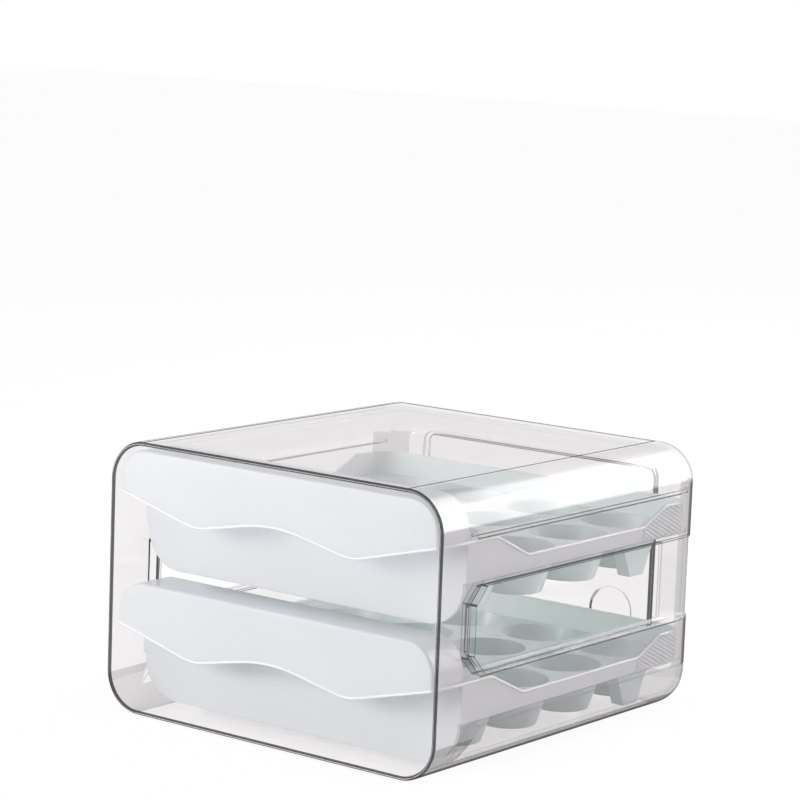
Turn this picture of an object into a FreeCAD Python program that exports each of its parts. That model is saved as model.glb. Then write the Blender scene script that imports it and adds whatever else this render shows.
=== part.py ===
import FreeCAD, Part
import os
import Sketcher

# Two-tier egg box: a clear outer shell, open at the front, and two egg drawers that slide in it.
# Millimetres. X runs across the front, Y from the front to the back, Z up.
# The origin is the middle of the underside of the shell.

DRIVING_SIZES = {
    # Outer shell: a rounded sleeve with a closed back
    "shell_width": 225,
    "shell_depth": 244,
    "shell_height": 150,
    "shell_wall": 2.2,
    "shell_corner_radius": 22,
    "shell_back_radius": 18,
    # Sides: a plain collar at the front, then two bands that stand out and carry the drawers
    "collar_depth": 32,
    "band_step": 6,
    "ledge_height": 25,
    "window_sill": 28,
    "window_corner": 9,
    "window_edge": 1.5,
    "rear_post": 32,
    "lower_step": 4,
    "lower_recess_front": 39,
    # Ribs that keep the upper drawer level when it is pulled out
    "rib_front": 34,
    "rib_gap": 2,
    "rib_width": 5.3,
    "rib_height": 1.8,
    "rib_end_gap": 10,
    # Sunk field in the back wall, with two round discs on its face
    "field_end_margin": 32,
    "field_side_margin": 19,
    "field_step": 2.5,
    "field_corner_radius": 5,
    "boss_inset": 25.5,
    "boss_height": 45,
    "boss_radius": 14,
    "boss_rise": 0.6,
    # Drawer: heights are measured from the edge that slides on the ledge
    "slide_gap": 0.3,
    "side_gap": 1,
    "drawer_wall": 1.8,
    "drawer_rear_gap": 4.8,
    "drawer_rear_radius": 15,
    "deck_rise": 4,
    "deck_wall": 1.8,
    "waist_rise": 8.1,
    "rear_rise": 17.6,
    "cheek_end": 51,
    "waist_start": 79.5,
    "waist_end_from_back": 56,
    "rear_start_from_back": 34,
    # Drawer front: a set-back panel under a hood that serves as the pull
    "front_side_gap": 5,
    "panel_setback": 26,
    "panel_wall": 2.2,
    "panel_drop": 23.9,
    "panel_corner_radius": 22,
    "hood_setback": 3,
    "hood_wall": 2,
    "hood_land": 6.9,
    "head_gap": 2.6,
    "tier_gap": 4.4,
    "hood_edge_radius": 1.6,
    "trough_spacing": 106,
    "trough_rise": 6.5,
    "trough_radius": 30,
    "arch_rise": 17.3,
    "arch_radius": 100,
    "brace": 4,
    "brace_root": 1,
    "gusset_gap": 0.5,
    "gusset_length": 9,
    # Egg cups: a square grid of tapered pockets
    "cup_side_margin": 10.5,
    "first_cup": 63,
    "last_cup_from_back": 31,
    "cup_land": 3.5,
    "cup_taper": 7.5,
    "cup_drop": 20.5,
    "cup_wall": 1.6,
    "cup_floor_rounding": 1.2,
    # Tapered feet under the rear corners of each drawer
    "foot_offset": 4.5,
    "foot_from_back": 45,
    "foot_drop": 21.8,
    "foot_length": 13,
    "foot_width": 8,
    "foot_flare": 11,
    # How far a cut runs past the surface that it starts from
    "overrun": 5,
}

CUPS_EACH_WAY = 4

# Height of the hood's ends and the drawer's cheeks, as a share of the hood's rise.
CHEEK_SHARE = 0.4653

# Share of a moulding's volume that rounding may lose when it is cut into blocks.
LOST_SHARE = 1e-6

doc = FreeCAD.newDocument("egg_box")
sizes = doc.addObject("Spreadsheet::Sheet", "sizes")
for row, (alias, value) in enumerate(DRIVING_SIZES.items(), start=1):
    sizes.set(f"A{row}", alias)
    sizes.set(f"B{row}", str(value))
    sizes.setAlias(f"B{row}", alias)
doc.recompute()


class Size:
    """A length from the sheet, or one worked out from such lengths: its value and its expression."""

    def __init__(self, value, text):
        self.value = float(value)
        self.text = text

    def __add__(self, other):
        return Size(self.value + other.value, f"({self.text} + {other.text})")

    def __sub__(self, other):
        return Size(self.value - other.value, f"({self.text} - {other.text})")

    def __mul__(self, factor):
        return Size(self.value * factor, f"({self.text} * {factor})")

    def __truediv__(self, factor):
        return Size(self.value / factor, f"({self.text} / {factor})")

    def __neg__(self):
        return Size(-self.value, f"(-{self.text})")


def smaller(first, second):
    return Size(min(first.value, second.value), f"min({first.text}; {second.text})")


class Sheet:
    """The driving sizes by name."""

    def __getattr__(self, alias):
        return Size(getattr(sizes, alias), f"sizes.{alias}")


d = Sheet()
ZERO = Size(0, "0")

HALF_WIDTH = d.shell_width / 2
HALF_DEPTH = d.shell_depth / 2

# The tiers share the height of the shell: a hood, then a gap, then the front panel of the next drawer.
ROOM = d.shell_height - d.ledge_height - d.shell_wall * 2 - d.slide_gap - d.head_gap
TIER_PITCH = (ROOM + d.panel_drop + d.tier_gap) / 2
HOOD_RISE = TIER_PITCH - d.panel_drop - d.tier_gap
CHEEK_RISE = HOOD_RISE * CHEEK_SHARE
SHOULDER = HOOD_RISE - CHEEK_RISE - d.hood_land
HALF_FRONT = HALF_WIDTH - d.front_side_gap

# The cups fill the deck: their pitch follows the shell, and their mouths the smaller pitch.
PITCH_ACROSS = (HALF_WIDTH - d.cup_side_margin) * (2 / CUPS_EACH_WAY)
PITCH_ALONG = (d.shell_depth - d.first_cup - d.last_cup_from_back) / (CUPS_EACH_WAY - 1)
MOUTH_RADIUS = smaller(PITCH_ACROSS, PITCH_ALONG) / 2 - d.cup_land
FLOOR_RADIUS = MOUTH_RADIUS - d.cup_taper

# A slant of 45 degrees that moves by a wall moves by this many walls along an axis.
DIAGONAL = 2 ** 0.5


def station(length):
    """Y of a place that lies this far behind the front of the shell."""
    return length - HALF_DEPTH


def bind(item, prop, size):
    item.setExpression(prop, size.text)


def new_body(label):
    body = doc.addObject("PartDesign::Body", label)
    body.Label = label
    return body


def origin_item(body, role):
    return next(item for item in body.Origin.OriginFeatures if item.Role == role)


def new_sketch(body, name, role, across=ZERO, along=ZERO, lift=ZERO):
    """An empty sketch on one of the body's own planes, moved in the plane and along its normal."""
    sketch = body.newObject("Sketcher::SketchObject", name)
    sketch.AttachmentSupport = [(origin_item(body, role), "")]
    sketch.MapMode = "FlatFace"
    bind(sketch, "AttachmentOffset.Base.x", across)
    bind(sketch, "AttachmentOffset.Base.y", along)
    bind(sketch, "AttachmentOffset.Base.z", lift)
    return sketch


def place_point(sketch, geometry, which, axis, size):
    """Fix one coordinate of a point, from the sketch's origin."""
    if size.value == 0 and size.text == ZERO.text:
        on_axis = -2 if axis == "X" else -1
        sketch.addConstraint(Sketcher.Constraint("PointOnObject", geometry, which, on_axis))
        return
    index = sketch.addConstraint(
        Sketcher.Constraint("Distance" + axis, -1, 1, geometry, which, size.value))
    bind(sketch, f"Constraints[{index}]", size)


def draw_outline(sketch, points):
    """A closed outline of straight lines through points given as pairs of sizes."""
    corners = [FreeCAD.Vector(x.value, y.value, 0) for x, y in points]
    lines = []
    for index, corner in enumerate(corners):
        following = corners[(index + 1) % len(corners)]
        lines.append(sketch.addGeometry(Part.LineSegment(corner, following), False))
    for index, line in enumerate(lines):
        following = lines[(index + 1) % len(lines)]
        sketch.addConstraint(Sketcher.Constraint("Coincident", line, 2, following, 1))
    for line, (x, y) in zip(lines, points):
        place_point(sketch, line, 1, "X", x)
        place_point(sketch, line, 1, "Y", y)
    return sketch


def draw_box(sketch, left, right, low, high):
    return draw_outline(sketch, [(left, low), (right, low), (right, high), (left, high)])


def draw_circle(sketch, x, y, radius):
    centre = FreeCAD.Vector(x.value, y.value, 0)
    circle = sketch.addGeometry(Part.Circle(centre, FreeCAD.Vector(0, 0, 1), radius.value), False)
    place_point(sketch, circle, 3, "X", x)
    place_point(sketch, circle, 3, "Y", y)
    index = sketch.addConstraint(Sketcher.Constraint("Radius", circle, radius.value))
    bind(sketch, f"Constraints[{index}]", radius)
    return sketch


def grow(body, kind, name, sketch, length, reverse=False):
    """A pad or a pocket from a sketch, whose solid must get larger or smaller by it."""
    before = body.Shape.Volume if body.Tip else 0
    feature = body.newObject(f"PartDesign::{kind}", name)
    feature.Profile = sketch
    bind(feature, "Length", length)
    feature.Reversed = reverse
    doc.recompute()
    check_change(body, kind, name, before)
    return feature


def check_change(body, kind, name, before):
    after = body.Shape.Volume
    adds = kind in ("Pad", "Revolution", "AdditiveLoft")
    if (after <= before) if adds else (after >= before):
        raise ValueError(f"{name} of {body.Label} changes nothing")


def round_edges(body, name, radius, wanted):
    """Round the edges of the body's solid that the test picks out."""
    base = body.Tip
    edges = [f"Edge{number}" for number, edge in enumerate(base.Shape.Edges, start=1) if wanted(edge)]
    if not edges:
        raise ValueError(f"{name} of {body.Label} finds no edge")
    feature = body.newObject("PartDesign::Fillet", name)
    feature.Base = (base, edges)
    bind(feature, "Radius", radius)
    doc.recompute()
    if not feature.isValid():
        raise ValueError(f"{name} of {body.Label} can't be rounded")
    return feature


def mirror_across(body, name, features):
    """Repeat features on the other side of the middle plane."""
    feature = body.newObject("PartDesign::Mirrored", name)
    feature.Originals = features
    feature.MirrorPlane = (origin_item(body, "YZ_Plane"), [""])
    body.Tip = feature
    doc.recompute()
    return feature


def near(value, size):
    return abs(value - size.value) < d.slide_gap.value / 2


def runs_along(edge, axis):
    """True for a straight edge that is parallel to an axis."""
    if edge.Curve.TypeId != "Part::GeomLine":
        return False
    return abs(abs(getattr(edge.Curve.Direction, axis)) - 1) < 1e-6


def middle(edge):
    return edge.valueAt((edge.FirstParameter + edge.LastParameter) / 2)


# Outer shell


def add_side_recess(body, inset):
    """Cut one side back between its bands, and less so below them, and mirror the cuts."""
    front = station(d.collar_depth) - inset
    back = HALF_DEPTH + d.overrun
    top = d.ledge_height + TIER_PITCH + inset
    low = d.ledge_height + d.window_sill - inset
    corner = d.window_corner + inset * (2 - DIAGONAL)
    window = new_sketch(body, "window_recess_outline", "YZ_Plane", lift=HALF_WIDTH - d.band_step - inset)
    draw_outline(window, [
        (front + corner, low), (back, low), (back, top), (front + corner, top),
        (front, top - corner), (front, low + corner)])
    upper = grow(body, "Pocket", "window_recess", window, d.band_step + inset + d.overrun, True)
    ceiling = d.ledge_height + inset
    drop = ceiling + d.overrun
    lower_front = station(d.lower_recess_front) + inset * (1 - DIAGONAL)
    below = new_sketch(body, "lower_recess_outline", "YZ_Plane", lift=HALF_WIDTH - d.lower_step - inset)
    draw_outline(below, [
        (lower_front, ceiling), (lower_front - drop, -d.overrun), (back, -d.overrun), (back, ceiling)])
    lower = grow(body, "Pocket", "lower_recess", below, d.lower_step + inset + d.overrun, True)
    mirror_across(body, "other_side_recess", [upper, lower])


def shell_block(label, inset, front):
    """The rounded block of the shell, drawn in by an inset on every side but the front."""
    body = new_body(label)
    half = HALF_WIDTH - inset
    low = inset
    high = d.shell_height - inset
    section = new_sketch(body, "section", "XZ_Plane", lift=-front)
    draw_box(section, -half, half, low, high)
    grow(body, "Pad", "sleeve", section, HALF_DEPTH - inset - front, True)
    round_edges(body, "long_corners", d.shell_corner_radius - inset, lambda edge: runs_along(edge, "y"))
    back = HALF_DEPTH - inset
    round_edges(body, "back_corners", d.shell_back_radius - inset,
                lambda edge: near(edge.BoundBox.YMin, back))
    add_side_recess(body, inset)
    return body


def add_windows(body):
    """Open the floor of both side recesses, from the collar to the rear posts."""
    front = station(d.collar_depth) + d.window_edge
    back = HALF_DEPTH - d.rear_post
    top = d.ledge_height + TIER_PITCH - d.window_edge
    low = d.ledge_height + d.window_sill + d.window_edge
    corner = d.window_corner
    outline = new_sketch(body, "window_outline", "YZ_Plane", lift=-HALF_WIDTH)
    draw_outline(outline, [
        (front + corner, low), (back, low), (back, top), (front + corner, top),
        (front, top - corner), (front, low + corner)])
    grow(body, "Pocket", "windows", outline, d.shell_width, True)


def add_ribs(body):
    """A rib on each side wall, just above the upper drawer's side."""
    wall = HALF_WIDTH - d.shell_wall
    inner = wall - d.rib_width
    low = upper_runner() + CHEEK_RISE + d.rib_gap
    end = HALF_DEPTH - d.rib_end_gap
    outline = new_sketch(body, "rib_outline", "XZ_Plane", lift=-station(d.rib_front))
    draw_box(outline, inner, wall, low, low + d.rib_height)
    rib = grow(body, "Pad", "rib", outline, end - station(d.rib_front), True)
    mirror_across(body, "other_rib", [rib])


def add_back_field(body):
    """A field of the back wall that is sunk from outside at full thickness, with two discs on it."""
    half = HALF_WIDTH - d.field_end_margin
    low = d.field_side_margin
    high = d.shell_height - d.field_side_margin
    face = HALF_DEPTH - d.shell_wall / 2
    inner = HALF_DEPTH - d.shell_wall - d.field_step
    pad = new_sketch(body, "field_pad_outline", "XZ_Plane", lift=-face)
    draw_box(pad, -half - d.shell_wall, half + d.shell_wall, low - d.shell_wall, high + d.shell_wall)
    grow(body, "Pad", "field_pad", pad, face - inner)
    round_edges(body, "field_pad_corners", d.field_corner_radius + d.shell_wall,
                lambda edge: runs_along(edge, "y") and near(edge.BoundBox.YMin, inner)
                and near(abs(middle(edge).x), half + d.shell_wall))
    sunk = new_sketch(body, "field_outline", "XZ_Plane", lift=-HALF_DEPTH)
    draw_box(sunk, -half, half, low, high)
    grow(body, "Pocket", "field", sunk, d.field_step, True)
    round_edges(body, "field_corners", d.field_corner_radius,
                lambda edge: runs_along(edge, "y") and near(edge.BoundBox.YMax, HALF_DEPTH)
                and near(abs(middle(edge).x), half))
    root = HALF_DEPTH - d.field_step - d.shell_wall / 2
    circle = new_sketch(body, "boss_outline", "XZ_Plane", lift=-root)
    draw_circle(circle, half - d.boss_inset, d.boss_height, d.boss_radius)
    boss = grow(body, "Pad", "boss", circle, d.shell_wall / 2 + d.boss_rise, True)
    mirror_across(body, "other_boss", [boss])


def outer_shell():
    body = shell_block("outer_shell", ZERO, -HALF_DEPTH)
    cavity = shell_block("shell_cavity", d.shell_wall, -HALF_DEPTH - d.overrun)
    hollow = body.newObject("PartDesign::Boolean", "hollow")
    hollow.setObjects([cavity])
    hollow.Type = "Cut"
    body.Tip = hollow
    doc.recompute()
    add_windows(body)
    add_ribs(body)
    add_back_field(body)
    return body


# Egg drawers


def lower_runner():
    """Height of the edge on which the lower drawer slides."""
    return d.ledge_height + d.shell_wall + d.slide_gap


def upper_runner():
    return lower_runner() + TIER_PITCH


def panel_back():
    return station(d.panel_setback + d.panel_wall)


def add_tray(body, runner):
    """The drawer's side walls, back wall and deck, which start at the front of the panel."""
    half = HALF_WIDTH - d.shell_wall - d.side_gap
    front = panel_back()
    back = HALF_DEPTH - d.shell_wall - d.drawer_rear_gap
    plan = new_sketch(body, "tray_plan", "XY_Plane", lift=runner)
    draw_box(plan, -half, half, station(d.panel_setback), back)
    grow(body, "Pad", "tray_block", plan, CHEEK_RISE)
    inner = half - d.drawer_wall
    inner_back = back - d.drawer_wall
    room = new_sketch(body, "room_plan", "XY_Plane", lift=runner + d.deck_rise)
    draw_box(room, -inner, inner, front, inner_back)
    grow(body, "Pocket", "room", room, CHEEK_RISE, True)
    under = new_sketch(body, "underside_plan", "XY_Plane", lift=runner + d.deck_rise - d.deck_wall)
    draw_box(under, -inner, inner, front, inner_back)
    grow(body, "Pocket", "underside", under, d.deck_rise)
    round_edges(body, "room_corners", d.drawer_rear_radius - d.drawer_wall,
                lambda edge: runs_along(edge, "z") and near(middle(edge).y, inner_back))
    round_edges(body, "tray_corners", d.drawer_rear_radius,
                lambda edge: runs_along(edge, "z") and near(middle(edge).y, back))


def cut_side_profile(body, runner):
    """Lower the side walls behind the cheeks and the back wall, as seen from the side."""
    top = runner + CHEEK_RISE
    end = HALF_DEPTH
    profile = new_sketch(body, "side_profile", "YZ_Plane", lift=-HALF_WIDTH)
    draw_outline(profile, [
        (station(d.cheek_end), top + d.overrun), (station(d.cheek_end), top),
        (station(d.waist_start), runner + d.waist_rise),
        (end - d.waist_end_from_back, runner + d.waist_rise),
        (end - d.rear_start_from_back, runner + d.rear_rise), (end, runner + d.rear_rise),
        (end, top + d.overrun)])
    grow(body, "Pocket", "side_dip", profile, d.shell_width, True)


def add_panel(body, runner):
    """The set-back front panel."""
    half = HALF_FRONT
    low = runner - d.panel_drop
    top = runner + HOOD_RISE
    outline = new_sketch(body, "panel_outline", "XZ_Plane", lift=-station(d.panel_setback))
    draw_box(outline, -half, half, low, top)
    grow(body, "Pad", "panel", outline, d.panel_wall, True)
    round_edges(body, "panel_corners", d.panel_corner_radius,
                lambda edge: runs_along(edge, "y") and near(middle(edge).z, low))


def add_hood(body, runner):
    """The hood in front of the panel: open below for the fingers, with a waved lower edge."""
    half = HALF_FRONT
    trough = d.trough_spacing / 2
    top = runner + HOOD_RISE
    side = runner + CHEEK_RISE
    dip = runner + d.trough_rise
    arch = runner + d.arch_rise
    front = station(d.hood_setback)
    outline = new_sketch(body, "hood_outline", "XZ_Plane", lift=-front)
    draw_outline(outline, [
        (-half, side), (-trough, dip), (ZERO, arch), (trough, dip), (half, side),
        (half, top), (-half, top)])
    grow(body, "Pad", "hood", outline, d.panel_setback - d.hood_setback, True)
    inner = half - d.hood_wall
    inner_front = front + d.hood_wall
    inner_top = top - d.hood_wall
    hollow = new_sketch(body, "hood_hollow_outline", "XZ_Plane", lift=-inner_front)
    draw_box(hollow, -inner, inner, runner, inner_top)
    depth = d.panel_setback - d.hood_setback - d.hood_wall
    grow(body, "Pocket", "hood_hollow", hollow, depth)
    in_line = lambda edge, height: runs_along(edge, "y") and near(middle(edge).z, height)
    round_edges(body, "hood_inner_shoulders", SHOULDER - d.hood_wall,
                lambda edge: in_line(edge, inner_top) and near(edge.BoundBox.YMin, inner_front))
    round_edges(body, "hood_shoulders", SHOULDER,
                lambda edge: in_line(edge, top) and near(abs(middle(edge).x), half))
    round_edges(body, "hood_troughs", d.trough_radius,
                lambda edge: in_line(edge, dip) and near(edge.BoundBox.YMin, front))
    round_edges(body, "hood_arch", d.arch_radius,
                lambda edge: in_line(edge, arch) and near(edge.BoundBox.YMin, front))
    round_edges(body, "hood_front_edge", d.hood_edge_radius,
                lambda edge: near(edge.BoundBox.YMin, front) and near(edge.BoundBox.YMax, front))


def add_braces(body, runner):
    """A small brace under each end of the hood, and the web behind the panel that holds it up."""
    side = runner + CHEEK_RISE
    front = station(d.panel_setback)
    root = front + d.panel_wall / 2
    cheek = HALF_FRONT - d.hood_wall
    outline = new_sketch(body, "brace_outline", "YZ_Plane", lift=cheek)
    draw_outline(outline, [
        (front - d.brace, side), (front, side - d.brace), (root, side - d.brace),
        (root, side + d.brace_root), (front - d.brace, side + d.brace_root)])
    brace = grow(body, "Pad", "brace", outline, d.hood_wall)
    web_inner = HALF_WIDTH - d.shell_wall - d.band_step - d.gusset_gap - d.hood_wall
    deck = runner + d.deck_rise - d.deck_wall / 2
    back = panel_back() + d.gusset_length
    web = new_sketch(body, "gusset_outline", "YZ_Plane", lift=web_inner)
    draw_outline(web, [(root, deck), (back, deck), (back, side), (panel_back(), side + SHOULDER),
                       (root, side + SHOULDER)])
    gusset = grow(body, "Pad", "gusset", web, d.hood_wall)
    mirror_across(body, "other_brace", [brace, gusset])


def repeat_cups(body, name, feature):
    """Repeat a cup feature over the square grid."""
    across = doc.addObject("PartDesign::LinearPattern", name + "_across")
    across.Direction = (origin_item(body, "X_Axis"), [""])
    bind(across, "Length", PITCH_ACROSS * (CUPS_EACH_WAY - 1))
    across.Occurrences = CUPS_EACH_WAY
    along = doc.addObject("PartDesign::LinearPattern", name + "_along")
    along.Direction = (origin_item(body, "Y_Axis"), [""])
    bind(along, "Length", PITCH_ALONG * (CUPS_EACH_WAY - 1))
    along.Occurrences = CUPS_EACH_WAY
    grid = body.newObject("PartDesign::MultiTransform", name)
    grid.Originals = [feature]
    body.addObject(across)
    body.addObject(along)
    grid.Transformations = [across, along]
    body.Tip = grid
    doc.recompute()


def turn_cup(body, kind, name, points):
    """Turn a half section about the axis of the grid's first cup."""
    first_across = PITCH_ACROSS * ((1 - CUPS_EACH_WAY) / 2)
    section = new_sketch(body, name + "_section", "XZ_Plane",
                         across=first_across, lift=-station(d.first_cup))
    draw_outline(section, points)
    before = body.Shape.Volume
    feature = body.newObject(f"PartDesign::{kind}", name)
    feature.Profile = section
    feature.ReferenceAxis = (section, ["V_Axis"])
    doc.recompute()
    check_change(body, kind, name, before)
    repeat_cups(body, name + "_grid", feature)


def add_cups(body, runner):
    """Tapered cups that hang from the deck and open upwards."""
    floor = runner - d.cup_drop
    deck = runner + d.deck_rise
    turn_cup(body, "Revolution", "cup", [
        (ZERO, floor), (FLOOR_RADIUS + d.cup_wall, floor),
        (MOUTH_RADIUS + d.cup_wall, deck - d.deck_wall / 2), (ZERO, deck - d.deck_wall / 2)])
    turn_cup(body, "Groove", "cup_hollow", [
        (ZERO, floor + d.cup_wall), (FLOOR_RADIUS, floor + d.cup_wall),
        (MOUTH_RADIUS, deck), (MOUTH_RADIUS, deck + d.overrun), (ZERO, deck + d.overrun)])
    round_edges(body, "cup_floor_edges", d.cup_floor_rounding,
                lambda edge: near(edge.BoundBox.ZMin, floor) and near(edge.BoundBox.ZMax, floor)
                and edge.Curve.TypeId == "Part::GeomCircle")


def add_feet(body, runner):
    """The tapered feet under the rear corners, wider where they meet the deck."""
    middle_x = PITCH_ACROSS * ((CUPS_EACH_WAY - 1) / 2) + FLOOR_RADIUS + d.foot_offset
    middle_y = HALF_DEPTH - d.foot_from_back
    low = runner - d.foot_drop
    high = runner + d.deck_rise - d.deck_wall / 2
    half_width = d.foot_width / 2
    half_length = d.foot_length / 2
    sole = new_sketch(body, "foot_sole", "XY_Plane", lift=low)
    draw_box(sole, middle_x - half_width, middle_x + half_width,
             middle_y - half_length, middle_y + half_length)
    root = new_sketch(body, "foot_root", "XY_Plane", lift=high)
    draw_box(root, middle_x - half_width, middle_x + half_width,
             middle_y - half_length - d.foot_flare, middle_y + half_length + d.foot_flare)
    before = body.Shape.Volume
    foot = body.newObject("PartDesign::AdditiveLoft", "foot")
    foot.Profile = sole
    foot.Sections = [root]
    foot.Ruled = True
    doc.recompute()
    check_change(body, "AdditiveLoft", "foot", before)
    mirror_across(body, "other_foot", [foot])


def egg_drawer(label, runner):
    body = new_body(label)
    add_tray(body, runner)
    cut_side_profile(body, runner)
    add_panel(body, runner)
    add_hood(body, runner)
    add_braces(body, runner)
    add_feet(body, runner)
    add_cups(body, runner)
    return body


# Each moulding is kept as blocks that meet face to face, so that every block is a simple solid.


def shell_cuts():
    """Planes that part the shell's sides, back, top and base, and halve the windows."""
    across = HALF_WIDTH - d.shell_corner_radius
    window_middle = d.ledge_height + (d.window_sill + TIER_PITCH) / 2
    return [-across, across], [HALF_DEPTH - d.shell_back_radius], [window_middle]


def drawer_cuts():
    """Planes behind the front panel and between the cups."""
    turns = range(1, CUPS_EACH_WAY)
    columns = [PITCH_ACROSS * (turn - CUPS_EACH_WAY / 2) for turn in turns]
    rows = [station(d.first_cup) + PITCH_ALONG * (turn - 1 / 2) for turn in turns]
    return columns, [panel_back(), *rows], []


def spans(low, cuts, high):
    """The lengths between neighbouring cuts, past both ends of the moulding."""
    ends = [low - d.overrun.value, *[cut.value for cut in cuts], high + d.overrun.value]
    return list(zip(ends, ends[1:]))


def blocks(shape, cuts):
    across, along, up = cuts
    box = shape.BoundBox
    cut = []
    for left, right in spans(box.XMin, across, box.XMax):
        for front, back in spans(box.YMin, along, box.YMax):
            for low, high in spans(box.ZMin, up, box.ZMax):
                corner = FreeCAD.Vector(left, front, low)
                cell = Part.makeBox(right - left, back - front, high - low, corner)
                cut += shape.common(cell).Solids
    return Part.makeCompound(cut)


pieces = {
    outer_shell(): shell_cuts(),
    egg_drawer("upper_drawer", upper_runner()): drawer_cuts(),
    egg_drawer("lower_drawer", lower_runner()): drawer_cuts(),
}
doc.recompute()

failed = [item.Name for item in doc.Objects if {"Invalid", "Error"} & set(item.State)]
if failed:
    raise ValueError(f"failed features: {failed}")

os.makedirs("parts", exist_ok=True)
for piece, cuts in pieces.items():
    shape = piece.Shape
    if shape.isNull() or not shape.isValid() or len(shape.Solids) != 1:
        raise ValueError(f"{piece.Label} is not one sound solid")
    kept = blocks(shape, cuts)
    if not kept.isValid() or abs(kept.Volume / shape.Volume - 1) > LOST_SHARE:
        raise ValueError(f"{piece.Label} lost material when it was cut into blocks")
    kept.exportStep(f"parts/{piece.Label}.step")
    print(piece.Label, "volume", round(kept.Volume), "blocks", len(kept.Solids), "box", kept.BoundBox)
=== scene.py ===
import math

import bmesh
import bpy
from mathutils import Matrix, Vector
from mathutils.geometry import intersect_point_tri_2d


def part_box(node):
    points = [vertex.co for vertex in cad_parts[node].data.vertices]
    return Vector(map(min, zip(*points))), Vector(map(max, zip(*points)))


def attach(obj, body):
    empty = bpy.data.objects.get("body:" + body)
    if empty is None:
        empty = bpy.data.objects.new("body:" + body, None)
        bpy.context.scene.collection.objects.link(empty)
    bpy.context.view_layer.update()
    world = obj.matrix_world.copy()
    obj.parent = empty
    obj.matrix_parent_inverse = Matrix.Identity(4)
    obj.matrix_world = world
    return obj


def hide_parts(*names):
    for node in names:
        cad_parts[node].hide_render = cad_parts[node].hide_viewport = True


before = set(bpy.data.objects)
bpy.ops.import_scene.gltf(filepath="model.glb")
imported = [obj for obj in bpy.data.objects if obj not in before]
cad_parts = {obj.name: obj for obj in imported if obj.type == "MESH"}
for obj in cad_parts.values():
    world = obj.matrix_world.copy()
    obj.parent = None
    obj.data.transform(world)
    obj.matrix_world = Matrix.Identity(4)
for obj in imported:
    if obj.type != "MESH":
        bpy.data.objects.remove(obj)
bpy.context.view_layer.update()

# Height of the edge that each drawer slides on
TIERS = {"upper": 0.1005, "lower": 0.0275}

# Where the rounded rear corner of a drawer starts, its radius, and the steps in which ribs are bent round it
CORNER_START = 0.1
CORNER_RADIUS = 0.015
CORNER_STEP = 0.0015
CORNER_STEPS = 8

# Where the deck and cups of a drawer start behind its panel, and how far they reach to each side
TRAY_START = -0.0938
TRAY_REACH = 0.1

# Planes in which the CAD blocks of a moulding meet: axis and place
SHELL_SEAMS = ((0, -0.0905), (0, 0.0905), (1, 0.104), (2, 0.0755))
DRAWER_SEAMS = (
    (0, -0.051),
    (0, 0.0),
    (0, 0.051),
    (1, TRAY_START),
    (1, -0.034),
    (1, 0.016),
    (1, 0.066),
)

# Material slots of the shell and of a drawer
WALL, EDGE, SHADED_CORNER, LIT_EDGE, LIT_SHOULDER, SHADED_FOOT, LIT_LEDGE = range(7)
BODY, TRAY = range(2)

# Parts of a normal from which a face of the shell counts as slanting, level, looking up or looking down
SLANTING = 0.08
LEVEL = 0.9
LOOKING_UP = 0.05
LOOKING_DOWN = -0.3

# Where the shell's side bands start, its ledges end, its low edges end and the rear end of its windows starts
BAND_START = 0.1
LEDGE_TOP = 0.13
LOW_EDGE_TOP = 0.03
WINDOW_REAR = 0.06

# How far the front rim's dark edges reach back, and the part of a normal from which an edge catches light
RIM_DEPTH = 0.003
EDGE_LOOKING_UP = 0.3

# Smallest turn, in radians, of the edges of the front rim
RIM_TURN = 1.0

# Angles from which edges are sharp or softened
MOULDING_ANGLE = math.radians(32.0)
TRIM_ANGLE = math.radians(40.0)
BEAD_ANGLE = math.radians(50.0)
SOFTENED_ANGLE = math.radians(30.0)

# Distances below which places are the same: on a seam, for merging, and on a face of the CAD box
ON_SEAM = 2e-6
MERGED = 4e-6
ON_BOX = 1e-5

# The ribbed field on a drawer's side, above the runner: lower and upper edge, middle, and slanted front edge
FIELD_LOW = 0.0008
FIELD_HIGH = 0.0166
FIELD_MIDDLE = 0.009
FIELD_SLANT_FOOT = 0.0071
FIELD_SLANT = Vector((0.0, -0.0095, 0.022)).normalized()

# Number of ribs, an odd one, their length before they are trimmed, and the share of a rib that is rounded
RIBS = 19
RIB_LENGTH = 0.08
RIB_ROUNDING_SHARE = 0.3

# Stations of the bead along a drawer's side, from the rear to the front
BEAD_REAR_END = 0.098
BEAD_REAR_START = 0.088
BEAD_WAIST_END = 0.066
BEAD_WAIST_START = -0.0425
BEAD_CHEEK_END = -0.071

# Where the bead turns from the side to the hood, and where the wave has its trough
BEAD_TURN_DEPTH = 0.016
BEAD_TURN_WIDTH = 0.0018
BEAD_TROUGH = 0.053

# Radii of the bead's bends, from the rear to the trough, and of the arch between the troughs
BEAD_RADII = (0.004, 0.004, 0.01, 0.01, 0.002, 0.001, 0.03)
BEAD_ARCH_RADIUS = 0.1
BEND_STEPS = 8

# Place and size of each soft lamp, and what the lamps look at
LAMPS = {
    "key_lamp": ((-0.7, -0.85, 0.22), (0.5, 0.4)),
    "front_lamp": ((-0.5, -1.4, 0.5), (1.2, 0.6)),
    "side_lamp": ((0.8, 1.6, 0.6), (1.5, 1.2)),
    "glare_card": ((0.68, 1.5, 0.7), (1.3, 1.7)),
    "corner_lamp": ((0.45, 1.7, 1.35), (1.3, 0.7)),
}
LAMP_AIM = Vector((0.0, 0.0, 0.075))

# The floor: its size, how far below the holder it lies, its brightness and how much of that covers its paint
FLOOR_SIZE = 12.0
FLOOR_DROP = 0.0004
FLOOR_BRIGHTNESS = 1.06
FLOOR_BRIGHT_SHARE = 0.86

# Width of the camera's sensor in millimetres, how far it sees, and how many clear walls it sees through
SENSOR_WIDTH = 36.0
CAMERA_REACH = 50.0
CLEAR_WALLS = 32

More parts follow.
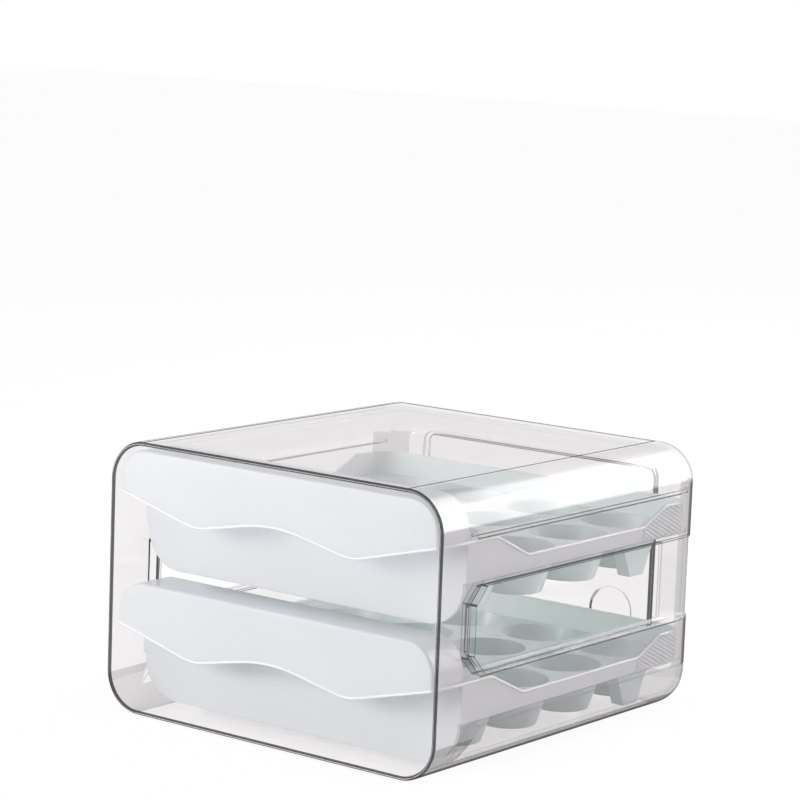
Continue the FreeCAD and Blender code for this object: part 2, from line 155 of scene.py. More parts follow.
WHITE = (1.0, 1.0, 1.0, 1.0)

bl_info = {
    "name": "Egg holder",
    "version": (1, 0, 0),
    "blender": (4, 5, 0),
    "location": "3D View > Sidebar > Egg holder",
    "description": "Dresses the two drawer egg holder: clear shell, white drawers, side ribbing and stage",
    "category": "Object",
}


class ShellSettings(bpy.types.PropertyGroup):
    """Finish of the clear outer shell"""

    tint: bpy.props.FloatVectorProperty(
        name="Tint",
        description="Colour that one wall of the shell gives to what is behind it",
        subtype="COLOR",
        default=(0.948, 0.938, 0.941),
        min=0.0,
        max=1.0,
    )
    # The edge tint is partly the plastic's own tint seen through its length and partly painted shade for the
    # dark lines that refraction draws along edges
    edge_tint_and_shade: bpy.props.FloatVectorProperty(
        name="Edge tint",
        description="Colour of the plastic where it is seen edge on",
        subtype="COLOR",
        default=(0.05, 0.05, 0.051),
        min=0.0,
        max=1.0,
    )
    # The softened edges of the rim and elsewhere show dark through the edge tint, which is painted shade
    # together with the plastic's own tint; the edge depth is its share
    rim_width: bpy.props.FloatProperty(
        name="Rim edge width",
        description="Width of the softened edges of the front rim, which show dark",
        default=0.0013,
        unit="LENGTH",
    )
    # The dark line along the flat top is painted shade: a narrow strip given the darkened corner finish
    line_width: bpy.props.FloatProperty(
        name="Line width",
        description="Width of the dark line where the flat top meets its rounded edges",
        default=0.0015,
        unit="LENGTH",
    )
    edge_width: bpy.props.FloatProperty(
        name="Edge width",
        description="Width of the softened edges, which show dark",
        default=0.0006,
        unit="LENGTH",
    )
    edge_depth: bpy.props.FloatProperty(
        name="Edge depth",
        description="Share of the edge tint on the softened edges",
        default=0.92,
        min=0.0,
        max=1.0,
        subtype="FACTOR",
    )
    gloss: bpy.props.FloatProperty(
        name="Roughness",
        description="Roughness of the polished walls",
        default=0.02,
        min=0.0,
        max=1.0,
        subtype="FACTOR",
    )


class DrawerSettings(bpy.types.PropertyGroup):
    """Finish of the white drawers"""

    glow: bpy.props.FloatVectorProperty(
        name="Glow",
        description="Colour of the light that passes through the thin walls",
        subtype="COLOR",
        default=(0.92, 0.968, 0.964),
        min=0.0,
        max=1.0,
    )
    thinness: bpy.props.FloatProperty(
        name="Thinness",
        description="Share of the light that passes through the thin walls",
        default=0.34,
        min=0.0,
        max=1.0,
        subtype="FACTOR",
    )
    colour: bpy.props.FloatVectorProperty(
        name="Colour",
        description="Colour of the white plastic",
        subtype="COLOR",
        default=(0.967, 0.953, 0.985),
        min=0.0,
        max=1.0,
    )
    # The deck and cups are the same plastic as the rest of the drawer, given a painted mint tint that stands
    # in for the light inside the clear shell
    tray_light_tint: bpy.props.FloatVectorProperty(
        name="Tray colour",
        description="Colour of the deck and cups, which are thinner and show a little green",
        subtype="COLOR",
        default=(0.94, 0.972, 0.965),
        min=0.0,
        max=1.0,
    )
    gloss: bpy.props.FloatProperty(
        name="Roughness",
        description="Roughness of the satin plastic",
        default=0.2,
        min=0.0,
        max=1.0,
        subtype="FACTOR",
    )
    softening: bpy.props.FloatProperty(
        name="Edge softening",
        description="Radius of the softened moulded edges",
        default=0.0006,
        unit="LENGTH",
    )


class BeadSettings(bpy.types.PropertyGroup):
    """The thin bead along the hood's edge and the tops of the drawer's sides"""

    thickness: bpy.props.FloatProperty(
        name="Thickness", description="Thickness of the bead", default=0.0018, unit="LENGTH"
    )
    wall: bpy.props.FloatProperty(
        name="Wall",
        description="Distance of the bead on the sides from the middle",
        default=0.1091,
        unit="LENGTH",
    )
    hood_front: bpy.props.FloatProperty(
        name="Hood front",
        description="Place of the bead on the hood, along Y",
        default=-0.1187,
        unit="LENGTH",
    )
    cheek: bpy.props.FloatProperty(
        name="Cheek",
        description="Height of the bead at the ends of the hood, above the runner",
        default=0.0212,
        unit="LENGTH",
    )
    trough: bpy.props.FloatProperty(
        name="Trough",
        description="Height of the bead in the troughs of the wave, above the runner",
        default=0.0072,
        unit="LENGTH",
    )
    arch: bpy.props.FloatProperty(
        name="Arch",
        description="Height of the bead in the middle of the wave, above the runner",
        default=0.0180,
        unit="LENGTH",
    )
    waist: bpy.props.FloatProperty(
        name="Waist",
        description="Height of the bead along the waist of the sides, above the runner",
        default=0.0079,
        unit="LENGTH",
    )
    rear: bpy.props.FloatProperty(
        name="Rear",
        description="Height of the bead at the rear of the sides, above the runner",
        default=0.0174,
        unit="LENGTH",
    )


class RibbingSettings(bpy.types.PropertyGroup):
    """The fine slanted ribs at the rear of each drawer's sides"""

    pitch: bpy.props.FloatProperty(
        name="Pitch", description="Distance from rib to rib", default=0.0021, unit="LENGTH"
    )
    width: bpy.props.FloatProperty(
        name="Width", description="Width of one rib", default=0.0010, unit="LENGTH"
    )
    height: bpy.props.FloatProperty(
        name="Height", description="How far a rib stands off the wall", default=0.0005, unit="LENGTH"
    )
    slope: bpy.props.FloatProperty(
        name="Slope",
        description="Fall of the ribs towards the rear",
        default=math.radians(25.6),
        subtype="ANGLE",
    )
    front: bpy.props.FloatProperty(
        name="Front end", description="Where the ribbing starts, along Y", default=0.066, unit="LENGTH"
    )
    back: bpy.props.FloatProperty(
        name="Rear end", description="Where the ribbing ends, along Y", default=0.112, unit="LENGTH"
    )


class StageSettings(bpy.types.PropertyGroup):
    """Floor, light and camera"""

    lens: bpy.props.FloatProperty(name="Lens", description="Focal length in millimetres", default=132.71)
    azimuth: bpy.props.FloatProperty(
        name="Azimuth",
        description="Turn of the camera from the front",
        default=math.radians(37.604),
        subtype="ANGLE",
    )
    elevation: bpy.props.FloatProperty(
        name="Elevation",
        description="Downward tilt of the camera",
        default=math.radians(8.503),
        subtype="ANGLE",
    )
    roll: bpy.props.FloatProperty(
        name="Roll",
        description="Turn about the line of sight",
        default=math.radians(2.123),
        subtype="ANGLE",
    )
    place: bpy.props.FloatVectorProperty(
        name="Camera place",
        description="Where the camera stands",
        default=(0.969018, -1.272618, 0.411027),
        subtype="TRANSLATION",
    )
    sky: bpy.props.FloatProperty(
        name="Sky", description="Strength of the even studio light", default=0.46, min=0.0
    )
    corner: bpy.props.FloatProperty(
        name="Corner lamp",
        description="Power of the lamp that shows along the rounded corner",
        default=5.0,
        min=0.0,
    )
    side: bpy.props.FloatProperty(
        name="Side lamp", description="Power of the lamp behind the right side", default=18.0, min=0.0
    )
    fill: bpy.props.FloatProperty(
        name="Front lamp", description="Power of the lamp in front", default=8.0, min=0.0
    )
    glare: bpy.props.FloatProperty(
        name="Glare card",
        description="Power of the card that the clear corner mirrors",
        default=15.0,
        min=0.0,
    )
    key: bpy.props.FloatProperty(
        name="Key lamp", description="Power of the lamp at the left", default=2.0, min=0.0
    )


class Wire:
    """One output of a node, so that shader sums read as plain Python"""

    def __init__(self, tree, socket):
        self.tree = tree
        self.socket = socket

    @staticmethod
    def add(tree, kind, settings=None, sockets=None, output=0):
        """A new node: its settings first, then the values or links of its sockets"""
        node = tree.nodes.new(kind)
        for name, value in (settings or {}).items():
            setattr(node, name, value)
        for key, value in (sockets or {}).items():
            if isinstance(value, Wire):
                tree.links.new(value.socket, node.inputs[key])
            else:
                node.inputs[key].default_value = value
        return Wire(tree, node.outputs[output])

    def sum(self, operation, first, second):
        """The result of a Math node"""
        return Wire.add(self.tree, "ShaderNodeMath", {"operation": operation}, {0: first, 1: second})

    def __add__(self, other):
        return self.sum("ADD", self, other)

    def __radd__(self, other):
        return self.sum("ADD", other, self)

    def __sub__(self, other):
        return self.sum("SUBTRACT", self, other)

    def __rsub__(self, other):
        return self.sum("SUBTRACT", other, self)

    def __mul__(self, other):
        return self.sum("MULTIPLY", self, other)

    def __rmul__(self, other):
        return self.sum("MULTIPLY", other, self)

    def __pow__(self, other):
        return self.sum("POWER", self, other)


def blank_tree(owner):
    """The owner's node tree, emptied"""
    owner.use_nodes = True
    owner.node_tree.nodes.clear()
    return owner.node_tree


def close_tree(tree, kind, sockets):
    """The output node, with what each of its sockets shows"""
    end = tree.nodes.new(kind)
    for name, wire in sockets.items():
        tree.links.new(wire.socket, end.inputs[name])


def speckle(tree, place, scale, detail, stretch=(1.0, 1.0, 1.0)):
    """Noise in the piece's own metres"""
    turned = Wire.add(tree, "ShaderNodeMapping", None, {"Vector": place, "Scale": stretch})
    return Wire.add(tree, "ShaderNodeTexNoise", None, {"Vector": turned, "Scale": scale, "Detail": detail})


def clear_plastic(settings, name, depth, fall, shine, sheen):
    """Polished clear moulding

    depth is its share of the edge tint, which is partly the plastic's own tint seen through its length and
    partly painted shade for the dark lines that refraction draws, and fall is the power by which that rises
    towards a slanting view.
    shine is the share that mirrors, and sheen is what a slanting view adds to it.
    """
    material = bpy.data.materials.new(name)
    tree = blank_tree(material)
    place = Wire.add(tree, "ShaderNodeTexCoord", None, None, "Object")
    rubs = speckle(tree, place, scale=260.0, detail=3.0, stretch=(1.0, 0.12, 1.0))
    marks = Wire.add(tree, "ShaderNodeMapRange", None, {"Value": rubs, "From Min": 0.58, "From Max": 0.75})
    mark_roughness = 0.05
    sheen_power = 5.0
    facing = Wire.add(tree, "ShaderNodeLayerWeight", None, {"Blend": 0.5}, "Facing")
    wall = Wire.add(tree, "ShaderNodeBsdfTransparent", None, {"Color": (*settings.tint, 1.0)})
    # Dark layer: the plastic's own tint seen through its length, with painted shade for the dark lines of
    # refraction
    rim = Wire.add(tree, "ShaderNodeBsdfTransparent", None, {"Color": (*settings.edge_tint_and_shade, 1.0)})
    dark = Wire.add(tree, "ShaderNodeMath", {"operation": "MINIMUM"}, {0: depth + facing**fall, 1: 1.0})
    through = Wire.add(tree, "ShaderNodeMixShader", None, {0: dark, 1: wall, 2: rim})
    mirror = Wire.add(
        tree,
        "ShaderNodeBsdfPrincipled",
        None,
        {
            "Base Color": WHITE,
            "Metallic": 1.0,
            "Roughness": settings.gloss + marks * mark_roughness,
        },
    )
    mirrored = shine + facing**sheen_power * sheen
    surface = Wire.add(tree, "ShaderNodeMixShader", None, {0: mirrored, 1: through, 2: mirror})
    lamp_ray = Wire.add(tree, "ShaderNodeLightPath", None, None, "Is Shadow Ray")
    lit = Wire.add(tree, "ShaderNodeBsdfTransparent", None, {"Color": WHITE})
    surface = Wire.add(tree, "ShaderNodeMixShader", None, {0: lamp_ray, 1: surface, 2: lit})
    close_tree(tree, "ShaderNodeOutputMaterial", {"Surface": surface})
    return material


def white_plastic(settings, name, thinness, shade):
    """Satin white moulding with a fine grain, slight flow clouding and softened edges"""
    material = bpy.data.materials.new(name)
    tree = blank_tree(material)
    place = Wire.add(tree, "ShaderNodeTexCoord", None, None, "Object")
    grain = speckle(tree, place, scale=1900.0, detail=2.0)
    cloud = speckle(tree, place, scale=22.0, detail=3.0)
    rubs = speckle(tree, place, scale=420.0, detail=2.0, stretch=(1.0, 0.2, 1.0))
    rub_middle, rub_roughness = 0.5, 0.12
    pale_share, deep_share = 1.015, 0.975
    soft = Wire.add(tree, "ShaderNodeBevel", {"samples": 4}, {"Radius": settings.softening})
    skin = Wire.add(
        tree, "ShaderNodeBump", None, {"Height": grain, "Strength": 0.12, "Distance": 0.0002, "Normal": soft}
    )
    pale = tuple(min(1.0, part * pale_share) for part in shade)
    deep = tuple(part * deep_share for part in shade)
    colour = Wire.add(
        tree,
        "ShaderNodeMix",
        {"data_type": "RGBA"},
        {"Factor": cloud, 6: (*deep, 1.0), 7: (*pale, 1.0)},
        2,
    )
    body = Wire.add(
        tree,
        "ShaderNodeBsdfPrincipled",
        None,
        {
            "Base Color": colour,
            "Roughness": settings.gloss + (rubs - rub_middle) * rub_roughness,
            "IOR": 1.49,
            "Normal": skin,
        },
    )
    glow = Wire.add(tree, "ShaderNodeBsdfTranslucent", None, {"Color": (*settings.glow, 1.0)})
    surface = Wire.add(tree, "ShaderNodeMixShader", None, {0: thinness, 1: body, 2: glow})
    close_tree(tree, "ShaderNodeOutputMaterial", {"Surface": surface})
    return material


def deselect():
    """Leave nothing selected"""
    bpy.ops.object.select_all(action="DESELECT")


def take(piece):
    """Make the piece the only one selected and the active one"""
    deselect()
    piece.select_set(True)
    bpy.context.view_layer.objects.active = piece


def buried(mesh, seams):
    """The faces by which the CAD blocks of a moulding meet: each lies on faces that look the other way"""
    found = []
    for axis, place in seams:
        walls = {1: [], -1: []}
        for face in mesh.faces:
            if all(abs(corner.co[axis] - place) < ON_SEAM for corner in face.verts):
                corners = [Vector(corner.co[:axis] + corner.co[axis + 1 :]) for corner in face.verts]
                walls[1 if face.normal[axis] > 0.0 else -1].append((face, corners))
        for way, wall in walls.items():
            for face, corners in wall:
                middle = sum(corners, Vector((0.0, 0.0))) / len(corners)
                if any(intersect_point_tri_2d(middle, *other) for _, other in walls[-way]):
                    found.append(face)
    return found


def smoothed_copy(node, name, seams):
    """A merged copy of a CAD node, its blocks joined, smooth but for its sharp edges"""
    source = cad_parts[node]
    piece = bpy.data.objects.new(name, source.data.copy())
    piece.data.name = name
    bpy.context.scene.collection.objects.link(piece)
    take(piece)
    bpy.ops.object.mode_set(mode="EDIT")
    bpy.ops.mesh.select_mode(type="FACE")
    bpy.ops.mesh.select_all(action="DESELECT")
    mesh = bmesh.from_edit_mesh(piece.data)
    for face in buried(mesh, seams):
        face.select_set(True)
    bmesh.update_edit_mesh(piece.data)
    bpy.ops.mesh.delete(type="FACE")
    bpy.ops.mesh.select_all(action="SELECT")
    bpy.ops.mesh.remove_doubles(threshold=MERGED)
    bpy.ops.object.mode_set(mode="OBJECT")
    bpy.ops.mesh.customdata_custom_splitnormals_clear()
    bpy.ops.object.shade_smooth_by_angle(angle=MOULDING_ANGLE)
    piece.data.materials.clear()
    return piece


def shell_finishes(settings):
    """The finishes of the shell, in the order of its material slots: depth, fall, shine and sheen. Apart from
    the wall, these are lit and shaded copies of one clear plastic: painted shade on edges and rounded
    corners, lighter copies for edges and corners that look up, and a painted highlight on the window ledges.
    """
    # Rows other than the wall carry painted light and shade: the upward-looking rows are the lit copies, the
    # darkened rows are painted shade, and the row for the window ledges mirrors more as a painted highlight
    kinds = {
        "wall": (0.0, 24.0, 0.04, 0.25),
        "edge": (settings.edge_depth, 8.0, 0.03, 0.06),
        "corner": (0.28, 3.0, 0.04, 0.05),
        "lit_edge": (0.1, 8.0, 0.04, 0.25),
        "lit_shoulder": (0.0, 9.0, 0.04, 0.05),
        "foot": (0.2, 3.5, 0.04, 0.05),
        "lit_ledge": (0.0, 24.0, 0.4, 0.0),
    }
    return [clear_plastic(settings, f"clear_{kind}_finish", *looks) for kind, looks in kinds.items()]


def paint_walls(mesh, middle):
    """Paint light and shade on the shell's rounded corners and window ledges: rounded corners that look up
    take the lightest copy, those that look down and the others take darker copies as painted shade, and the
    level ledges take a copy that mirrors more, as a painted highlight
    """
    for face in mesh.polygons:
        slants = sum(abs(part) > SLANTING for part in face.normal)
        rounded = slants > 1 and face.normal.dot(face.center - middle) > 0.0
        on_band = abs(face.center.x) > BAND_START and face.center.z < LEDGE_TOP
        # Painted light and shade by the way a rounded corner looks: up keeps it lightest, while down and
        # sideways make it darker
        if rounded and face.normal.z > LOOKING_UP:
            face.material_index = LIT_SHOULDER
        elif rounded and face.normal.z < LOOKING_DOWN:
            face.material_index = SHADED_FOOT
        elif rounded:
            face.material_index = SHADED_CORNER
        # Level window ledges on the side bands mirror more, as a painted highlight
        elif face.normal.z > LEVEL and on_band:
            face.material_index = LIT_LEDGE


def soften_rim(piece, front, width):
    """Round the edges of the front rim"""
    bpy.ops.object.mode_set(mode="EDIT")
    bpy.ops.mesh.select_mode(type="EDGE")
    bpy.ops.mesh.select_all(action="DESELECT")
    mesh = bmesh.from_edit_mesh(piece.data)
    for edge in mesh.edges:
        at_rim = all(corner.co.y < front + ON_BOX for corner in edge.verts)
        edge.select_set(at_rim and edge.calc_face_angle(0.0) > RIM_TURN)
    bmesh.update_edit_mesh(piece.data)
    # The rounded rim edges take the edge finish, which is darkened with painted shade
    bpy.ops.mesh.bevel(offset=width, segments=2, affect="EDGES", material=EDGE)
    bpy.ops.object.mode_set(mode="OBJECT")


def soften_edges(piece, width):
    """Round all other sharp edges"""
    bpy.ops.object.modifier_add(type="BEVEL")
    edges = piece.modifiers[0]
    edges.width = width
    edges.segments = 2
    edges.limit_method = "ANGLE"
    edges.angle_limit = SOFTENED_ANGLE
    edges.use_clamp_overlap = False
    # The rounded edges take the edge finish, which is darkened with painted shade
    edges.material = EDGE
    bpy.ops.object.modifier_apply(modifier=edges.name)


def cut_top_line(piece, top, width):
    """Cut a narrow strip along the border of the flat top, and give its place at the sides and the back"""
    flat = [corner.co for corner in piece.data.vertices if corner.co.z > top - ON_BOX]
    side = max(place.x for place in flat) - width
    back = max(place.y for place in flat) - width
    across, along = (1.0, 0.0, 0.0), (0.0, 1.0, 0.0)
    cuts = (((side, 0.0, 0.0), across), ((-side, 0.0, 0.0), across), ((0.0, back, 0.0), along))
    bpy.ops.object.mode_set(mode="EDIT")
    for place, way in cuts:
        bpy.ops.mesh.select_all(action="SELECT")
        bpy.ops.mesh.bisect(plane_co=place, plane_no=way)
    bpy.ops.object.mode_set(mode="OBJECT")
    return side, back


class EGGHOLDER_OT_shell(bpy.types.Operator):
    """The clear outer shell, with its walls polished and its edges softened"""

    bl_idname = "eggholder.shell"
    bl_label = "Clear shell"

    def execute(self, context):
        piece = smoothed_copy("outer_shell", "clear_shell", SHELL_SEAMS)
        settings = context.scene.eggholder_shell
        for finish in shell_finishes(settings):
            piece.data.materials.append(finish)
        low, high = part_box("outer_shell")
        paint_walls(piece.data, (low + high) / 2)
        soften_rim(piece, low.y, settings.rim_width)
        soften_edges(piece, settings.edge_width)
        side, back = cut_top_line(piece, high.z, settings.line_width)
        bpy.ops.object.shade_smooth_by_angle(angle=TRIM_ANGLE)
        # Edges that look up, and the low edges, take the lit copy of the edge finish as a painted highlight;
        # the other edges keep the darkened edge finish
        for face in piece.data.polygons:
            is_edge = face.material_index == EDGE
            lit = face.normal.z > EDGE_LOOKING_UP or face.center.z < LOW_EDGE_TOP
            if is_edge and lit and face.center.y > low.y + RIM_DEPTH:
                face.material_index = LIT_EDGE
            # Edges at the rear of the windows take the darkened corner finish, as painted dark lines
            elif is_edge and abs(face.center.x) > BAND_START and face.center.y > WINDOW_REAR:
                face.material_index = SHADED_CORNER
            # The strip along the border of the flat top takes the darkened corner finish, as a painted dark
            # line standing in for the line that refraction draws there
            elif face.center.z > high.z - ON_BOX and (abs(face.center.x) > side or face.center.y > back):
                face.material_index = SHADED_CORNER
        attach(piece, "shell")
        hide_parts("outer_shell")
        return {"FINISHED"}


class EGGHOLDER_OT_drawers(bpy.types.Operator):
    """The two white egg drawers"""

    bl_idname = "eggholder.drawers"
    bl_label = "Egg drawers"

    def execute(self, context):
        settings = context.scene.eggholder_drawer
        finish = white_plastic(settings, "white_plastic_finish", settings.thinness, settings.colour)
        # Copy of the white plastic for the deck and cups, with a painted mint tint for the light inside the
        # clear shell
        tray_light_tint = white_plastic(settings, "white_tray_light_tint_finish", settings.thinness, settings.tray_light_tint)
        for tier in TIERS:
            piece = smoothed_copy(f"{tier}_drawer", f"{tier}_egg_drawer", DRAWER_SEAMS)
            piece.data.materials.append(finish)
            piece.data.materials.append(tray_light_tint)
            # The deck and cups take the copy with the painted mint tint
            for face in piece.data.polygons:
                in_tray = abs(face.center.x) < TRAY_REACH and face.center.y > TRAY_START
                face.material_index = TRAY if in_tray else BODY
            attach(piece, f"{tier}_drawer")
            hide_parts(f"{tier}_drawer")
        return {"FINISHED"}


def cut_away(place, outward):
    """Trim the mesh in edit mode by a plane, and close the cut"""
    bpy.ops.mesh.select_all(action="SELECT")
    bpy.ops.mesh.bisect(plane_co=place, plane_no=outward, use_fill=True, clear_outer=True)


def ribbing(name, settings, wall, runner):
    """Slanted ribs on the outside of a drawer's right wall, trimmed to the raised rear of the wall"""
    deselect()
    bpy.ops.mesh.primitive_cube_add(size=1.0, location=(0.0, 0.0, 0.0))
    piece = bpy.context.object
    piece.name = piece.data.name = name
    bpy.ops.object.mode_set(mode="EDIT")
    bpy.ops.mesh.select_mode(type="EDGE")
    bpy.ops.transform.resize(value=(2.0 * settings.height, RIB_LENGTH, settings.width))
    mesh = bmesh.from_edit_mesh(piece.data)
    for edge in mesh.edges:
        first, last = (corner.co for corner in edge.verts)
        lengthwise = abs(first.y - last.y) > settings.width
        edge.select_set(lengthwise and first.x > 0.0 and last.x > 0.0)
    bmesh.update_edit_mesh(piece.data)
    bpy.ops.mesh.bevel(offset=settings.width * RIB_ROUNDING_SHARE, segments=2, affect="EDGES")
    bpy.ops.mesh.select_all(action="SELECT")
    bpy.ops.transform.rotate(value=settings.slope, orient_axis="X", center_override=(0.0, 0.0, 0.0))
    middle = Vector((wall, (settings.front + settings.back) / 2, runner + FIELD_MIDDLE))
    bpy.ops.transform.translate(value=middle)
    step = Vector((0.0, math.sin(settings.slope), math.cos(settings.slope))) * settings.pitch
    bpy.ops.transform.translate(value=step * -(RIBS // 2))
    for _ in range(RIBS - 1):
        bpy.ops.mesh.duplicate_move(TRANSFORM_OT_translate={"value": step})
    cut_away((wall, settings.front, runner), (0.0, -1.0, 0.0))
    cut_away((wall, settings.back, runner), (0.0, 1.0, 0.0))
    cut_away((wall, settings.front, runner + FIELD_LOW), (0.0, 0.0, -1.0))
    cut_away((wall, settings.front, runner + FIELD_HIGH), (0.0, 0.0, 1.0))
    cut_away((wall, settings.front, runner + FIELD_SLANT_FOOT), FIELD_SLANT)
    for turn in range(CORNER_STEPS):
        seam = CORNER_START + turn * CORNER_STEP
        bpy.ops.mesh.select_all(action="SELECT")
        bpy.ops.mesh.bisect(plane_co=(wall, seam, runner), plane_no=(0.0, 1.0, 0.0))
    mesh = bmesh.from_edit_mesh(piece.data)
    for corner in mesh.verts:
        if corner.co.y > CORNER_START:
            around = (corner.co.y - CORNER_START) / CORNER_RADIUS
            reach = CORNER_RADIUS + corner.co.x - wall
            corner.co.x = wall - CORNER_RADIUS + reach * math.cos(around)
            corner.co.y = CORNER_START + reach * math.sin(around)
    bmesh.update_edit_mesh(piece.data)
    bpy.ops.mesh.select_all(action="SELECT")
    bpy.ops.mesh.normals_make_consistent(inside=False)
    bpy.ops.object.mode_set(mode="OBJECT")
    bpy.ops.object.shade_smooth_by_angle(angle=TRIM_ANGLE)
    return piece


def rounded_line(points, radii):
    """A line through the points, its inner corners rounded to the radii"""
    line = [points[0]]
    for before, corner, after, radius in zip(points, points[1:], points[2:], radii):
        into = (before - corner).normalized()
        out = (after - corner).normalized()
        half = into.angle(out) / 2
        reach = radius / math.tan(half)
        middle = corner + (into + out).normalized() * radius / math.sin(half)
        start = (corner + into * reach - middle).normalized()
        end = (corner + out * reach - middle).normalized()
        turns = range(BEND_STEPS + 1)
        line += [middle + start.slerp(end, turn / BEND_STEPS) * radius for turn in turns]
    line.append(points[-1])
    return line


def bead(name, settings, runner):
    """The thin bead along the waved edge of a drawer's hood and on along the tops of its sides"""
    side, front = settings.wall, settings.hood_front
    top = runner + settings.cheek
    dip = runner + settings.trough
    arch = runner + settings.arch
    waist = runner + settings.waist
    rear = runner + settings.rear
    right = [
        (side, BEAD_REAR_END, rear),
        (side, BEAD_REAR_START, rear),
        (side, BEAD_WAIST_END, waist),
        (side, BEAD_WAIST_START, waist),
        (side, BEAD_CHEEK_END, top),
        (side, front + BEAD_TURN_DEPTH, top),
        (side - BEAD_TURN_WIDTH, front, top),
        (BEAD_TROUGH, front, dip),
    ]
    left = [(-x, y, z) for x, y, z in reversed(right)]
    points = [Vector(point) for point in [*right, (0.0, front, arch), *left]]
    line = rounded_line(points, [*BEAD_RADII, BEAD_ARCH_RADIUS, *reversed(BEAD_RADII)])
    deselect()
    bpy.ops.curve.primitive_nurbs_path_add()
    piece = bpy.context.object
    piece.name = piece.data.name = name
    path = piece.data
    path.splines.clear()
    spline = path.splines.new("POLY")
    spline.points.add(len(line) - 1)
    for point, place in zip(spline.points, line):
        point.co = (*place, 1.0)
    path.dimensions = "3D"
    path.bevel_depth = settings.thickness / 2
    path.bevel_resolution = 2
    path.use_fill_caps = True
    bpy.ops.object.convert(target="MESH")
    bpy.ops.object.mode_set(mode="EDIT")
    bpy.ops.mesh.select_all(action="SELECT")
    bpy.ops.mesh.remove_doubles(threshold=MERGED)
    bpy.ops.object.mode_set(mode="OBJECT")
    bpy.ops.object.shade_smooth_by_angle(angle=BEAD_ANGLE)
    return bpy.context.object


class EGGHOLDER_OT_beads(bpy.types.Operator):
    """The thin bead along each hood's edge and the tops of the drawer's sides"""

    bl_idname = "eggholder.beads"
    bl_label = "Edge beads"

    def execute(self, context):
        drawer = context.scene.eggholder_drawer
        # The beads take a copy of the white plastic that lets no light through, so they show whiter: a lit
        # copy standing in for the highlight along the edges
        finish = white_plastic(drawer, "white_bead_lit_finish", 0.0, drawer.colour)
        for tier, runner in TIERS.items():
            piece = bead(f"{tier}_drawer_bead", context.scene.eggholder_bead, runner)
            piece.data.materials.append(finish)
            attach(piece, f"{tier}_drawer")
        return {"FINISHED"}


class EGGHOLDER_OT_ribbing(bpy.types.Operator):
    """The fine slanted ribs at the rear of the drawers' sides"""

    bl_idname = "eggholder.ribbing"
    bl_label = "Side ribbing"

    def execute(self, context):
        settings = context.scene.eggholder_ribbing
        drawer = context.scene.eggholder_drawer
        finish = white_plastic(drawer, "white_ribbing_finish", drawer.thinness, drawer.colour)
        for tier, runner in TIERS.items():
            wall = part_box(f"{tier}_drawer")[1].x
            piece = ribbing(f"{tier}_drawer_ribbing", settings, wall, runner)
            take(piece)
            bpy.ops.object.modifier_add(type="MIRROR")
            bpy.ops.object.modifier_apply(modifier=piece.modifiers[0].name)
            piece.data.materials.append(finish)
            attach(piece, f"{tier}_drawer")
        return {"FINISHED"}


def soft_lamp(name, place, size, power):
    """A large soft lamp that looks at the middle of the egg holder"""
    bpy.ops.object.light_add(type="AREA", location=place)
    lamp = bpy.context.object
    lamp.name = name
    lamp.data.shape = "RECTANGLE"
    lamp.data.size, lamp.data.size_y = size
    lamp.data.energy = power
    lamp.rotation_euler = (LAMP_AIM - lamp.location).to_track_quat("-Z", "Y").to_euler()
    return lamp


def shown_rays(tree):
    """One for what the camera sees, in a mirror or clear plastic too, and zero for light on the object"""
    path = tree.nodes.new("ShaderNodeLightPath")
    seen = Wire(tree, path.outputs["Is Camera Ray"])
    for kind in ("Is Glossy Ray", "Is Transmission Ray"):
        other = Wire(tree, path.outputs[kind])
        seen = Wire.add(tree, "ShaderNodeMath", {"operation": "MAXIMUM"}, {0: seen, 1: other})
    return seen


def studio_world(settings, back):
    """An even pale sky that the camera, mirrors and clear plastic see as white, dimmer behind the camera"""
    world = bpy.data.worlds.new("studio_sky")
    bpy.context.scene.world = world
    tree = blank_tree(world)
    shown = shown_rays(tree)
    way = Wire.add(tree, "ShaderNodeTexCoord", None, None, "Generated")
    facing = Wire.add(tree, "ShaderNodeVectorMath", {"operation": "DOT_PRODUCT"}, {0: way, 1: back}, "Value")
    dim = Wire.add(
        tree,
        "ShaderNodeMapRange",
        None,
        {"Value": facing, "From Min": 0.15, "From Max": 0.95, "To Min": 1.0, "To Max": 0.5},
    )
    strength = shown * dim + (1.0 - shown) * settings.sky
    sky = Wire.add(tree, "ShaderNodeBackground", None, {"Color": WHITE, "Strength": strength})
    close_tree(tree, "ShaderNodeOutputWorld", {"Surface": sky})


def pale_floor():
    """A pale floor that keeps a little of the object's shadow"""
    deselect()
    bpy.ops.mesh.primitive_plane_add(size=FLOOR_SIZE, location=(0.0, 0.0, -FLOOR_DROP))
    floor = bpy.context.object
    floor.name = "studio_floor"
    bpy.ops.object.transform_apply(location=True, rotation=False, scale=False)
    material = bpy.data.materials.new("floor_paint")
    tree = blank_tree(material)
    shown = shown_rays(tree)
    paint = Wire.add(tree, "ShaderNodeBsdfDiffuse", None, {"Color": (0.9, 0.9, 0.9, 1.0)})
    glow = Wire.add(tree, "ShaderNodeEmission", None, {"Color": WHITE, "Strength": FLOOR_BRIGHTNESS})
    bright = shown * FLOOR_BRIGHT_SHARE
    surface = Wire.add(tree, "ShaderNodeMixShader", None, {0: bright, 1: paint, 2: glow})
    close_tree(tree, "ShaderNodeOutputMaterial", {"Surface": surface})
    floor.data.materials.append(material)


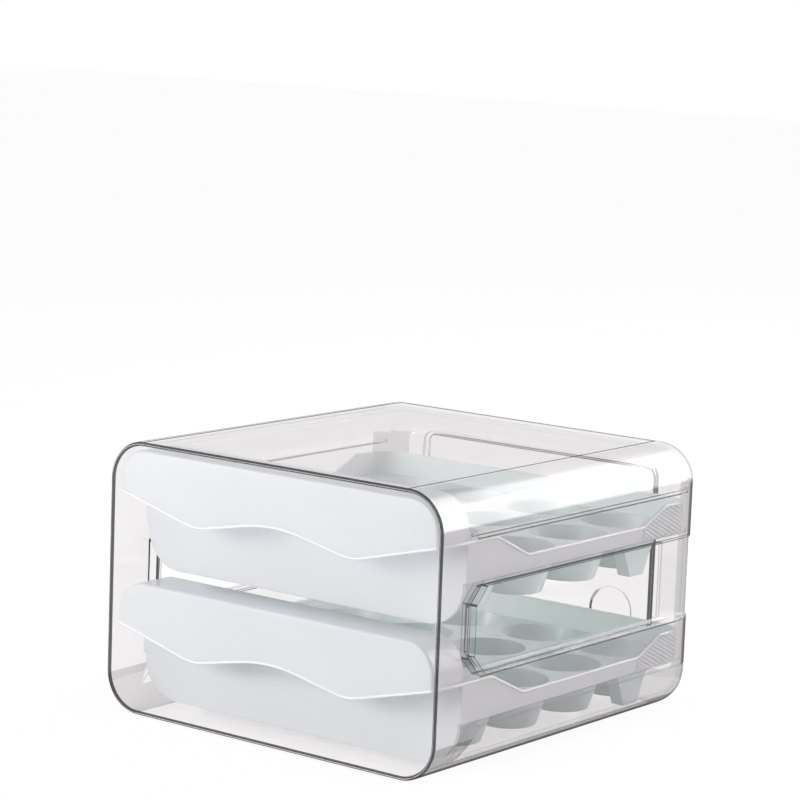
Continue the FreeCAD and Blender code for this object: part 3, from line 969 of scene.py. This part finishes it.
class EGGHOLDER_OT_stage(bpy.types.Operator):
    """The pale floor, the soft studio light and the camera"""

    bl_idname = "eggholder.stage"
    bl_label = "Stage"

    def execute(self, context):
        settings = context.scene.eggholder_stage
        turn, tilt, roll = settings.azimuth, settings.elevation, settings.roll
        back = Vector((math.sin(turn) * math.cos(tilt), -math.cos(turn) * math.cos(tilt), math.sin(tilt)))
        level = Vector((math.cos(turn), math.sin(turn), 0.0))
        upright = back.cross(level)
        right = math.cos(roll) * level + math.sin(roll) * upright
        up = math.cos(roll) * upright - math.sin(roll) * level
        deselect()
        bpy.ops.object.camera_add()
        camera = context.object
        camera.name = "photo_camera"
        camera.data.lens = settings.lens
        camera.data.sensor_width = SENSOR_WIDTH
        camera.data.clip_end = CAMERA_REACH
        turned = Matrix((right, up, back)).transposed().to_4x4()
        camera.matrix_world = Matrix.Translation(settings.place) @ turned
        context.scene.camera = camera
        powers = {
            "key_lamp": settings.key,
            "front_lamp": settings.fill,
            "side_lamp": settings.side,
            "glare_card": settings.glare,
            "corner_lamp": settings.corner,
        }
        lamps = {name: soft_lamp(name, *LAMPS[name], power) for name, power in powers.items()}
        card = lamps["glare_card"]
        card.visible_diffuse = card.visible_transmission = False
        studio_world(settings, back)
        pale_floor()
        context.scene.view_settings.view_transform = "Standard"
        context.scene.cycles.transparent_max_bounces = CLEAR_WALLS
        return {"FINISHED"}


class EGGHOLDER_PT_sidebar(bpy.types.Panel):
    """The steps that dress the egg holder, with their sizes and colours"""

    bl_idname = "EGGHOLDER_PT_sidebar"
    bl_label = "Egg holder"
    bl_space_type = "VIEW_3D"
    bl_region_type = "UI"
    bl_category = "Egg holder"

    def draw(self, context):
        for kind, group in STEPS:
            box = self.layout.box()
            box.operator(kind.bl_idname)
            settings = getattr(context.scene, group)
            for name in settings.__annotations__:
                box.prop(settings, name)


GROUPS = {
    "eggholder_shell": ShellSettings,
    "eggholder_drawer": DrawerSettings,
    "eggholder_bead": BeadSettings,
    "eggholder_ribbing": RibbingSettings,
    "eggholder_stage": StageSettings,
}
STEPS = (
    (EGGHOLDER_OT_shell, "eggholder_shell"),
    (EGGHOLDER_OT_drawers, "eggholder_drawer"),
    (EGGHOLDER_OT_beads, "eggholder_bead"),
    (EGGHOLDER_OT_ribbing, "eggholder_ribbing"),
    (EGGHOLDER_OT_stage, "eggholder_stage"),
)


def register():
    for name, group in GROUPS.items():
        bpy.utils.register_class(group)
        setattr(bpy.types.Scene, name, bpy.props.PointerProperty(type=group))
    for kind, _ in STEPS:
        bpy.utils.register_class(kind)
    bpy.utils.register_class(EGGHOLDER_PT_sidebar)


def unregister():
    bpy.utils.unregister_class(EGGHOLDER_PT_sidebar)
    for kind, _ in STEPS:
        bpy.utils.unregister_class(kind)
    for name, group in GROUPS.items():
        delattr(bpy.types.Scene, name)
        bpy.utils.unregister_class(group)


def main():
    register()
    bpy.ops.eggholder.shell()
    bpy.ops.eggholder.drawers()
    bpy.ops.eggholder.beads()
    bpy.ops.eggholder.ribbing()
    bpy.ops.eggholder.stage()


if __name__ == "__main__":
    main()
